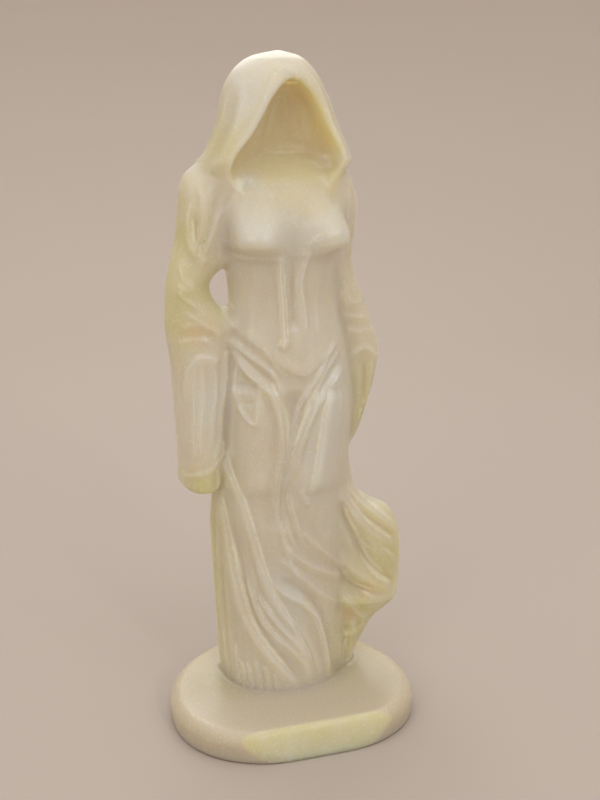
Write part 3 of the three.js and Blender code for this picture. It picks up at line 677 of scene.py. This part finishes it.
def vertex_array(mesh, field, width=3):
    """One value or vector per vertex, as an array."""
    values = np.empty(len(mesh.vertices) * width, np.float32)
    mesh.vertices.foreach_get(field, values)
    return values.reshape(-1, width).astype(float)


def add_node(tree, kind, inputs=None, **settings):
    """Adds a node, sets it up, and links or sets its inputs."""
    node = tree.nodes.new(kind)
    for key, value in settings.items():
        setattr(node, key, value)
    for key, value in (inputs or {}).items():
        if isinstance(value, bpy.types.NodeSocket):
            tree.links.new(value, node.inputs[key])
        else:
            node.inputs[key].default_value = value
    return node


def tool_mark_tree(stone):
    """Geometry Nodes that leave the shallow marks of rasp and scraper on a carved surface."""
    tree = bpy.data.node_groups.new("Tool marks", "GeometryNodeTree")
    tree.interface.new_socket("Geometry", in_out="INPUT", socket_type="NodeSocketGeometry")
    sockets = {}
    for label, kind, default in (
        ("Depth", "NodeSocketFloat", 0.05 * MM),
        ("Spacing", "NodeSocketFloat", 1.1 * MM),
        ("Seed", "NodeSocketFloat", 3.0),
        ("Stone", "NodeSocketMaterial", None),
    ):
        sockets[label] = tree.interface.new_socket(label, in_out="INPUT", socket_type=kind)
        if default is not None:
            sockets[label].default_value = default
    tree.interface.new_socket("Geometry", in_out="OUTPUT", socket_type="NodeSocketGeometry")
    given = add_node(tree, "NodeGroupInput")
    place = add_node(tree, "GeometryNodeInputPosition")
    normal = add_node(tree, "GeometryNodeInputNormal")
    scale = add_node(tree, "ShaderNodeMath", {0: 1.0, 1: given.outputs["Spacing"]}, operation="DIVIDE")
    flattened = add_node(tree, "ShaderNodeVectorMath", {0: place.outputs[0], 1: (1.0, 1.0, 0.4)},
                         operation="MULTIPLY")
    marks = add_node(tree, "ShaderNodeTexNoise", {
        "Vector": flattened.outputs[0], "W": given.outputs["Seed"], "Scale": scale.outputs[0],
        "Detail": 2.0}, noise_dimensions="4D")
    centred = add_node(tree, "ShaderNodeMath", {0: marks.outputs[0], 1: 0.5}, operation="SUBTRACT")
    deep = add_node(tree, "ShaderNodeMath", {0: centred.outputs[0], 1: given.outputs["Depth"]},
                    operation="MULTIPLY")
    apart = add_node(tree, "ShaderNodeSeparateXYZ", {0: place.outputs[0]})
    clear = add_node(tree, "ShaderNodeMapRange", {
        "Value": apart.outputs[2], "From Min": 0.4 * MM, "From Max": 1.4 * MM})
    kept = add_node(tree, "ShaderNodeMath", {0: deep.outputs[0], 1: clear.outputs[0]},
                    operation="MULTIPLY")
    offset = add_node(tree, "ShaderNodeVectorMath", {0: normal.outputs[0], "Scale": kept.outputs[0]},
                      operation="SCALE")
    moved = add_node(tree, "GeometryNodeSetPosition", {
        "Geometry": given.outputs["Geometry"], "Offset": offset.outputs[0]})
    real = add_node(tree, "GeometryNodeRealizeInstances", {"Geometry": moved.outputs[0]})
    finished = add_node(tree, "GeometryNodeSetMaterial", {
        "Geometry": real.outputs[0], "Material": given.outputs["Stone"]})
    add_node(tree, "NodeGroupOutput", {0: finished.outputs[0]})
    return tree, {label: socket.identifier for label, socket in sockets.items()}


def polished_calcite(settings):
    """Pale green-yellow banded calcite, carved, rasped in the folds and polished by hand.

    Thick stone scatters light until it looks milky; thin stone lets it through and looks
    yellow. Both looks are painted into the base colour, as are highlights on the ridges, glints,
    shade and light in the hood and the figure's shadow on the slab. The polish leaves a soft
    gloss with finer scratches that break up the glints.
    """
    material = bpy.data.materials.new("polished calcite")
    material.use_nodes = True
    tree = material.node_tree
    tree.nodes.clear()
    place = add_node(tree, "ShaderNodeTexCoord").outputs["Object"]

    def measured(name):
        return add_node(tree, "ShaderNodeAttribute", attribute_name=name).outputs["Fac"]

    def mixed(amount, a, b):
        node = add_node(tree, "ShaderNodeMix", data_type="RGBA")
        for key, value in ((0, amount), (6, a), (7, b)):
            if isinstance(value, bpy.types.NodeSocket):
                tree.links.new(value, node.inputs[key])
            else:
                node.inputs[key].default_value = value
        return node.outputs[2]

    def calculated(operation, *values):
        return add_node(tree, "ShaderNodeMath", dict(enumerate(values)), operation=operation).outputs[0]

    def ranged(value, low, high, to_low=0.0, to_high=1.0):
        return add_node(tree, "ShaderNodeMapRange", {
            "Value": value, "From Min": low, "From Max": high, "To Min": to_low, "To Max": to_high}
        ).outputs[0]

    def noise(spacing_mm, detail=3.0, vector=place, roughness=0.5):
        return add_node(tree, "ShaderNodeTexNoise", {
            "Vector": vector, "Scale": 1 / (spacing_mm * MM), "Detail": detail,
            "Roughness": roughness}).outputs[0]

    upright = add_node(tree, "ShaderNodeMapping", {
        "Vector": place, "Rotation": (0.12, 0.18, 0.0), "Scale": (1.0, 1.0, 0.22)}).outputs[0]
    clouds = ranged(noise(14, 4.0, roughness=0.6), 0.35, 0.65)
    streaks = ranged(noise(1.6, 3.0, upright), 0.35, 0.65)
    body = mixed(calculated("ADD", calculated("MULTIPLY", clouds, 0.65), calculated("MULTIPLY", streaks, 0.35)),
                 tuple(settings.thick_colour), tuple(settings.cloud_colour))
    ragged = ranged(noise(4.5, 4.0, roughness=0.62), 0.3, 0.7, 0.45, 1.0)

    def torn(name, share=1.0):
        return calculated("MULTIPLY", measured(name), calculated("MULTIPLY", ragged, share))

    body = mixed(measured("slab"), body, tuple(settings.slab_colour))
    # Painted shadow: the figure's shade on the slab, a darker ochre behind and beside her
    body = mixed(torn("slab_shadow", 0.8), body, tuple(settings.slab_shadow_colour))
    # Painted light: yellow where light comes through thin stone, by measured thickness and in the clouds and
    # sawn face below
    body = mixed(torn("thinness", 0.4), body, tuple(settings.through_light_colour))
    body = mixed(torn("through_light"), body, tuple(settings.through_light_colour))
    # Small orange-tan patches by the crook of her left sleeve and on the tail
    body = mixed(torn("orange_patch", 0.5), body, tuple(settings.orange_patch_colour))
    # Painted shade, with light through the thin walls: yellower in the hood's hollow and on the chest under it
    body = mixed(measured("depth"), body, tuple(settings.hollow_shade_colour))
    # Painted light: a milky glow where light scatters back from thick stone
    body = mixed(torn("milky_glow"), body, tuple(settings.milky_glow_colour))
    # Painted highlight: light along the crests of the folds
    body = mixed(torn("ridge", 0.75), body, tuple(settings.ridge_highlight_colour))
    # Painted glints: small pale specks over the stone, in the colour of the ridge highlights
    glint_specks = ranged(noise(0.55, 2.0), 0.56, 0.74, 0.0, 0.3)
    body = mixed(glint_specks, body, tuple(settings.ridge_highlight_colour))

    grain = noise(0.5, 2.0)
    scratches = noise(0.35, 2.0, add_node(tree, "ShaderNodeMapping", {
        "Vector": place, "Rotation": (0.3, 0.2, 0.5), "Scale": (1.0, 1.0, 0.12)}).outputs[0])
    surface = calculated("ADD", calculated("MULTIPLY", grain, 0.6), calculated("MULTIPLY", scratches, 0.7))
    bump = add_node(tree, "ShaderNodeBump", {
        "Strength": 0.35, "Distance": 0.05 * MM, "Height": surface}).outputs[0]
    roughness = ranged(noise(5, 3.0), 0.3, 0.7, 0.29, 0.42)
    shader = add_node(tree, "ShaderNodeBsdfPrincipled", {
        "Base Color": body,
        "Roughness": roughness,
        "IOR": 1.55,
        "Subsurface Weight": 1.0,
        "Subsurface Radius": (1.0, 0.86, 0.56),
        "Subsurface Scale": settings.light_depth,
        "Normal": bump,
    }, subsurface_method="RANDOM_WALK")
    add_node(tree, "ShaderNodeOutputMaterial", {"Surface": shader.outputs[0]})
    return material


def measure_stone(figurine, mesh):
    """Stores at each vertex how thick and how edged the stone is, and the light and shade painted on it:
    yellow light through thin stone, highlights on the crests, shade deep in the hood's hollow, a milky
    glow, the figure's shadow on the slab, and small orange-tan patches.
    """
    points = vertex_array(mesh, "co") / MM
    normals = figurine.slope(points)
    normals /= np.maximum(np.sqrt((normals**2).sum(1, keepdims=True)), 1e-9)
    thickness = np.full(len(points), 16.0)
    for depth in (13.0, 10.0, 8.0, 6.0, 4.5, 3.0, 2.0, 1.2):
        out = figurine.distance(points - normals * depth) > 0
        thickness[out] = depth
    # Crests of the folds, where highlights are painted
    crest = 0.9
    ridge = ramp(-(figurine.distance(points + normals * crest) + figurine.distance(points - normals * crest)),
                 0.1, 0.4)
    x, y, z = points.T
    gap = figurine.hollow.distance(x, y, z)
    # Painted shade in the hood's hollow and on the chest in its shadow
    inside = (1 - ramp(gap, 0.3, 1.8)) * ramp(y, -1.0, 5.0)
    chest = np.exp(-(((points - (1.5, 0.0, 121.0)) / (9.0, 6.0, 5.5)) ** 2).sum(1))
    low = 1 - ramp(z, SLAB_THICKNESS - 0.6, SLAB_THICKNESS + 2.4)
    lean = math.radians(SLAB_FACE_LEAN)
    behind_face = (y - SLAB_FACE_FOOT_Y) * math.cos(lean) - z * math.sin(lean)
    sawn_face = (1 - ramp(behind_face, 0.2, 0.9)) * low
    # Painted light coming through the thin sleeve edges, the tail, the side of the hood and the slab's sawn face
    through_light = np.maximum(clouded(points, THROUGH_LIGHT_CLOUDS), sawn_face)
    for name, values in (
        ("thinness", (1 - ramp(thickness, 4.0, 14.0)) * (1 - low)),
        ("through_light", through_light),
        ("milky_glow", clouded(points, MILKY_GLOW_CLOUDS)),
        ("orange_patch", clouded(points, ORANGE_PATCHES)),
        ("depth", np.maximum(inside, 0.6 * chest)),
        ("slab_shadow", clouded(points, SLAB_SHADOW_CLOUDS)),
        ("slab", low * (1 - through_light)),
        ("ridge", ridge),
    ):
        mesh.attributes.new(name, "FLOAT", "POINT").data.foreach_set("value", values.astype(np.float32))


# Clouds of colour: where each is centred and how far it reaches, in mm. Most of them stand for painted light and
# shade.
# Painted light: a whiter, milky glow on the bust, the thighs, the skirt front and spots on the hood
MILKY_GLOW_CLOUDS = [
    ((-7.5, -5.5, 112.6), (8.0, 9.0, 5.2)),
    ((7.5, -5.5, 111.0), (8.0, 9.0, 5.0)),
    ((9.5, -3.5, 78.5), (4.6, 8.0, 7.5)),
    ((7.5, -4.5, 69.0), (4.4, 8.0, 8.0)),
    ((5.0, -4.5, 59.0), (3.6, 8.0, 7.0)),
    ((-2.4, -3.0, 30.0), (5.0, 6.0, 9.0)),
    ((-9.0, 2.0, 141.0), (5.0, 6.0, 7.0)),
    ((13.0, 5.5, 127.5), (3.0, 4.0, 2.6)),
    ((-8.5, 3.0, 123.0), (3.2, 3.0, 2.4)),
    ((-18.5, 1.0, 76.0), (4.0, 6.0, 9.0)),
]
# Painted light: yellow where light comes through the sleeves, her left side, the tail and the left of the hood
THROUGH_LIGHT_CLOUDS = [
    ((-22.0, 7.0, 112.0), (5.0, 9.0, 9.0)),
    ((-24.0, 6.0, 95.0), (4.0, 8.0, 9.0)),
    ((-16.5, 5.0, 98.0), (3.5, 6.0, 6.5)),
    ((-20.5, 3.0, 57.0), (7.0, 9.0, 4.0)),
    ((-16.5, 10.0, 34.0), (4.5, 10.0, 26.0)),
    ((23.0, 5.0, 33.0), (9.0, 9.0, 13.0)),
    ((16.0, 3.0, 17.0), (7.5, 9.0, 10.0)),
    ((19.0, 9.0, 74.0), (5.0, 9.0, 11.0)),
    ((-14.0, 8.0, 132.0), (3.6, 7.0, 9.0)),
]
# Painted shadow of the figure on the slab, behind her and beside her feet
SLAB_SHADOW_CLOUDS = [
    ((-17.0, 4.0, 6.0), (8.0, 9.0, 3.0)),
    ((18.0, 13.0, 6.0), (10.0, 8.0, 3.0)),
    ((-4.0, 20.0, 6.0), (16.0, 5.0, 3.0)),
    ((11.0, 0.5, 8.0), (5.0, 3.0, 3.0)),
]
# Small orange-tan patches by the crook of her left sleeve and on the tail
ORANGE_PATCHES = [
    ((-19.5, 4.0, 91.5), (3.2, 5.0, 2.6)),
    ((20.0, 2.0, 26.5), (2.6, 4.0, 2.2)),
    ((15.0, 2.0, 20.5), (2.4, 4.0, 2.2)),
]


def clouded(points, clouds):
    """How far each point lies inside any of the clouds, from 0 to 1."""
    total = np.zeros(len(points))
    for centre, reach in clouds:
        total += np.exp(-(((points - centre) / reach) ** 2).sum(1))
    return np.clip(total, 0, 1)


class StoneSettings(bpy.types.PropertyGroup):
    grid_step: bpy.props.FloatProperty(
        name="Grid step", description="Fineness that the folds are carved to",
        default=0.40 * MM, subtype="DISTANCE", unit="LENGTH", precision=5)
    mark_depth: bpy.props.FloatProperty(
        name="Tool mark depth", description="Depth of the marks left by rasp and scraper",
        default=0.06 * MM, subtype="DISTANCE", unit="LENGTH", precision=6)
    mark_spacing: bpy.props.FloatProperty(
        name="Tool mark spacing", description="Distance between the marks",
        default=1.1 * MM, subtype="DISTANCE", unit="LENGTH", precision=5)
    light_depth: bpy.props.FloatProperty(
        name="Light depth", description="How far light travels inside the stone",
        default=9.0 * MM, subtype="DISTANCE", unit="LENGTH", precision=5)
    thick_colour: bpy.props.FloatVectorProperty(
        name="Thick stone", description="Colour of thick stone", subtype="COLOR", size=4,
        min=0, max=1, default=linear("dcd6c5"))
    cloud_colour: bpy.props.FloatVectorProperty(
        name="Cloudy stone", description="Colour of the clouds in thick stone", subtype="COLOR", size=4,
        min=0, max=1, default=linear("d5ccb6"))
    through_light_colour: bpy.props.FloatVectorProperty(
        name="Painted through light", description="Colour where light comes through", subtype="COLOR", size=4,
        min=0, max=1, default=linear("cec895"))
    milky_glow_colour: bpy.props.FloatVectorProperty(
        name="Painted milky glow", description="Colour of the milky clouds", subtype="COLOR", size=4,
        min=0, max=1, default=linear("dad9cf"))
    orange_patch_colour: bpy.props.FloatVectorProperty(
        name="Orange patches", description="Colour of the small rusty clouds", subtype="COLOR", size=4,
        min=0, max=1, default=linear("d8b07c"))
    slab_colour: bpy.props.FloatVectorProperty(
        name="Slab", description="Colour of the stone of the slab", subtype="COLOR", size=4,
        min=0, max=1, default=linear("c8bca5"))
    hollow_shade_colour: bpy.props.FloatVectorProperty(
        name="Hollow shade", description="Colour in the depth of the hood", subtype="COLOR", size=4,
        min=0, max=1, default=linear("ddd2a8"))
    slab_shadow_colour: bpy.props.FloatVectorProperty(
        name="Painted slab shadow", description="Colour of the slab behind the figure", subtype="COLOR", size=4,
        min=0, max=1, default=linear("b5a67e"))
    ridge_highlight_colour: bpy.props.FloatVectorProperty(
        name="Painted ridge highlights", description="Colour of edges that light shines into", subtype="COLOR",
        size=4, min=0, max=1, default=linear("f3f3e4"))


class StageSettings(bpy.types.PropertyGroup):
    floor_colour: bpy.props.FloatVectorProperty(
        name="Floor", description="Colour of the floor and its upturned edge", subtype="COLOR",
        size=4, min=0, max=1, default=linear("beb2a7"))
    floor_radius: bpy.props.FloatProperty(
        name="Floor radius", description="Radius of the flat of the floor",
        default=0.42, subtype="DISTANCE", unit="LENGTH")
    key_power: bpy.props.FloatProperty(
        name="Key light", description="Power of the broad light", default=5.5, unit="POWER")
    fill_power: bpy.props.FloatProperty(
        name="Fill light", description="Power of the light from the left", default=2.0, unit="POWER")
    back_power: bpy.props.FloatProperty(
        name="Back light", description="Power of the light from behind", default=2.0, unit="POWER")
    glint_power: bpy.props.FloatProperty(
        name="Glint light", description="Power of the small light that gives the glints",
        default=0.3, unit="POWER")


class FIGURINE_OT_carve(bpy.types.Operator):
    """Carve the figurine and its slab from one block of stone"""
    bl_idname = "figurine.carve"
    bl_label = "Carve figurine"

    def execute(self, context):
        settings = context.scene.figurine_stone
        figurine = Figurine()
        points, quads = carve(figurine, settings.grid_step / MM)
        mesh = mesh_from("carved_block", points, quads)
        block = bpy.data.objects.new("carved_block", mesh)
        context.scene.collection.objects.link(block)
        stone = polished_calcite(settings)
        tree, inputs = tool_mark_tree(stone)
        marks = block.modifiers.new("Tool marks", "NODES")
        marks.node_group = tree
        marks[inputs["Depth"]] = settings.mark_depth
        marks[inputs["Spacing"]] = settings.mark_spacing
        marks[inputs["Stone"]] = stone
        thinned = block.modifiers.new("Fewer faces", "DECIMATE")
        thinned.ratio = min(1.0, TRIANGLE_LIMIT / (2 * len(quads)))
        thinned.use_collapse_triangulate = True
        shown = block.evaluated_get(context.evaluated_depsgraph_get())
        solid = bpy.data.meshes.new_from_object(shown)
        solid.name = "figurine"
        bpy.data.objects.remove(block)
        solid.materials.clear()
        solid.materials.append(stone)
        solid.polygons.foreach_set("material_index", np.zeros(len(solid.polygons), np.int32))
        solid.shade_smooth()
        places = vertex_array(solid, "co")
        places = np.clip(places, np.array(CAD_BOX[0]), np.array(CAD_BOX[1]))
        solid.vertices.foreach_set("co", places.astype(np.float32).ravel())
        solid.update()
        measure_stone(figurine, solid)
        piece = bpy.data.objects.new("figurine", solid)
        context.scene.collection.objects.link(piece)
        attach(piece, "root")
        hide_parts(NODE)
        print("triangles", len(solid.polygons), "vertices", len(solid.vertices))
        return {"FINISHED"}


def matte_card(colour):
    """Matt painted card: plain, with no gloss."""
    material = bpy.data.materials.new("matt card")
    material.use_nodes = True
    shader = material.node_tree.nodes["Principled BSDF"]
    shader.inputs["Base Color"].default_value = colour
    shader.inputs["Roughness"].default_value = 0.9
    shader.inputs["Specular IOR Level"].default_value = 0.2
    return material


def area_light(name, power, size, place, aim, colour):
    """A square soft light at a place, turned to a point."""
    from mathutils import Vector
    data = bpy.data.lights.new(name, "AREA")
    data.energy = power
    data.size = size
    data.color = linear(colour)[:3]
    light = bpy.data.objects.new(name, data)
    light.location = place
    light.rotation_mode = "QUATERNION"
    light.rotation_quaternion = (Vector(place) - Vector(aim)).to_track_quat("Z", "Y")
    light.visible_camera = False
    bpy.context.scene.collection.objects.link(light)
    return light


class FIGURINE_OT_stage(bpy.types.Operator):
    """Set up the floor, the lights and the camera"""
    bl_idname = "figurine.stage"
    bl_label = "Set the stage"

    def execute(self, context):
        settings = context.scene.figurine_stage
        bend, wall, turns = 0.25, 0.35, 96
        profile = [(0.0, 0.0), (settings.floor_radius, 0.0)]
        for i in range(1, 17):
            turn = math.radians(90) * i / 16
            profile.append((settings.floor_radius + bend * math.sin(turn), bend * (1 - math.cos(turn))))
        profile.append((settings.floor_radius + bend, bend + wall))
        ring = 2 * math.pi * np.arange(turns) / turns
        points = [(0.0, 0.0, 0.0)]
        for radius, height in profile[1:]:
            points += [(radius * math.cos(a), radius * math.sin(a), height) for a in ring]
        faces = [(0, 1 + i, 1 + (i + 1) % turns) for i in range(turns)]
        for level in range(len(profile) - 2):
            low, high = 1 + level * turns, 1 + (level + 1) * turns
            faces += [(low + i, high + i, high + (i + 1) % turns, low + (i + 1) % turns)
                      for i in range(turns)]
        mesh = bpy.data.meshes.new("floor")
        mesh.from_pydata(points, [], faces)
        mesh.materials.append(matte_card(tuple(settings.floor_colour)))
        mesh.shade_smooth()
        floor = bpy.data.objects.new("floor", mesh)
        context.scene.collection.objects.link(floor)

        aim = (0.0, 0.0, 0.08)
        area_light("key", settings.key_power, 0.6, (0.42, -0.58, 0.24), aim, "ffffff")
        area_light("fill", settings.fill_power, 0.4, (-0.50, -0.45, 0.20), aim, "ffffff")
        area_light("back", settings.back_power, 0.6, (0.10, 0.60, 0.42), aim, "ffffff")
        area_light("glint", settings.glint_power, 0.04, (0.12, -0.50, 0.30), aim, "ffffff")
        world = bpy.data.worlds.new("studio")
        world.use_nodes = True
        world.node_tree.nodes["Background"].inputs[0].default_value = linear("ffffff")
        world.node_tree.nodes["Background"].inputs[1].default_value = 1.1
        context.scene.world = world
        context.scene.view_settings.view_transform = "Standard"

        data = bpy.data.cameras.new("camera")
        data.sensor_width = 36.0
        data.lens = 49.5
        data.clip_start, data.clip_end = 0.01, 10.0
        camera = bpy.data.objects.new("camera", data)
        camera.location = (-0.0708, -0.2248, 0.13875)
        camera.rotation_euler = (math.radians(75), 0.0, math.radians(-18))
        context.scene.collection.objects.link(camera)
        context.scene.camera = camera
        return {"FINISHED"}


class FIGURINE_PT_panel(bpy.types.Panel):
    """Lists the steps and their settings"""
    bl_label = "Figurine"
    bl_idname = "FIGURINE_PT_panel"
    bl_space_type = "VIEW_3D"
    bl_region_type = "UI"
    bl_category = "Figurine"

    def draw(self, context):
        for settings, operator in (
            (context.scene.figurine_stone, FIGURINE_OT_carve),
            (context.scene.figurine_stage, FIGURINE_OT_stage),
        ):
            box = self.layout.box()
            for name in settings.__annotations__:
                box.prop(settings, name)
            box.operator(operator.bl_idname)


CLASSES = (StoneSettings, StageSettings, FIGURINE_OT_carve, FIGURINE_OT_stage, FIGURINE_PT_panel)


def register():
    for item in CLASSES:
        bpy.utils.register_class(item)
    bpy.types.Scene.figurine_stone = bpy.props.PointerProperty(type=StoneSettings)
    bpy.types.Scene.figurine_stage = bpy.props.PointerProperty(type=StageSettings)


def unregister():
    del bpy.types.Scene.figurine_stage
    del bpy.types.Scene.figurine_stone
    for item in reversed(CLASSES):
        bpy.utils.unregister_class(item)


def main():
    register()
    bpy.ops.figurine.carve()
    bpy.ops.figurine.stage()


if __name__ == "__main__":
    main()
